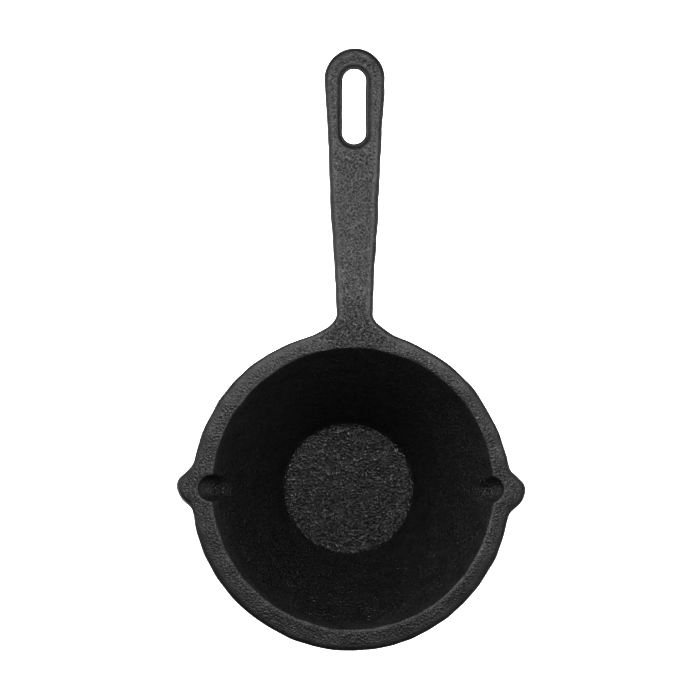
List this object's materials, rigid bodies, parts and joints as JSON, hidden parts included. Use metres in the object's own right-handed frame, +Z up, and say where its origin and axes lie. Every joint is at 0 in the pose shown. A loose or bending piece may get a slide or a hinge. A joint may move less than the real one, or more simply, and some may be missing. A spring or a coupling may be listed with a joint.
{
  "type": "cast iron sauce pot",
  "caption": "Small deep tapered cast iron pot with a flat rim, opposed pour spouts and a straight handle that ends in a long hanging slot.",
  "frame": {"origin": "centre of the flat base that the pot stands on", "axes": "+Z up out of the pot's mouth, +Y along the handle, +X and -X through the pour spouts"},
  "size_m": [0.1208, 0.209, 0.057],
  "materials": {
    "cast_iron": "matte black seasoned sand-cast iron"
  },
  "bodies": {
    "root": {"bowl_floor": "cast_iron", "bowl_wall": "cast_iron", "rim": "cast_iron", "left_pour_spout": "cast_iron", "right_pour_spout": "cast_iron", "handle_root": "cast_iron", "handle": "cast_iron", "hanging_loop": "cast_iron"}
  },
  "joints": []
}
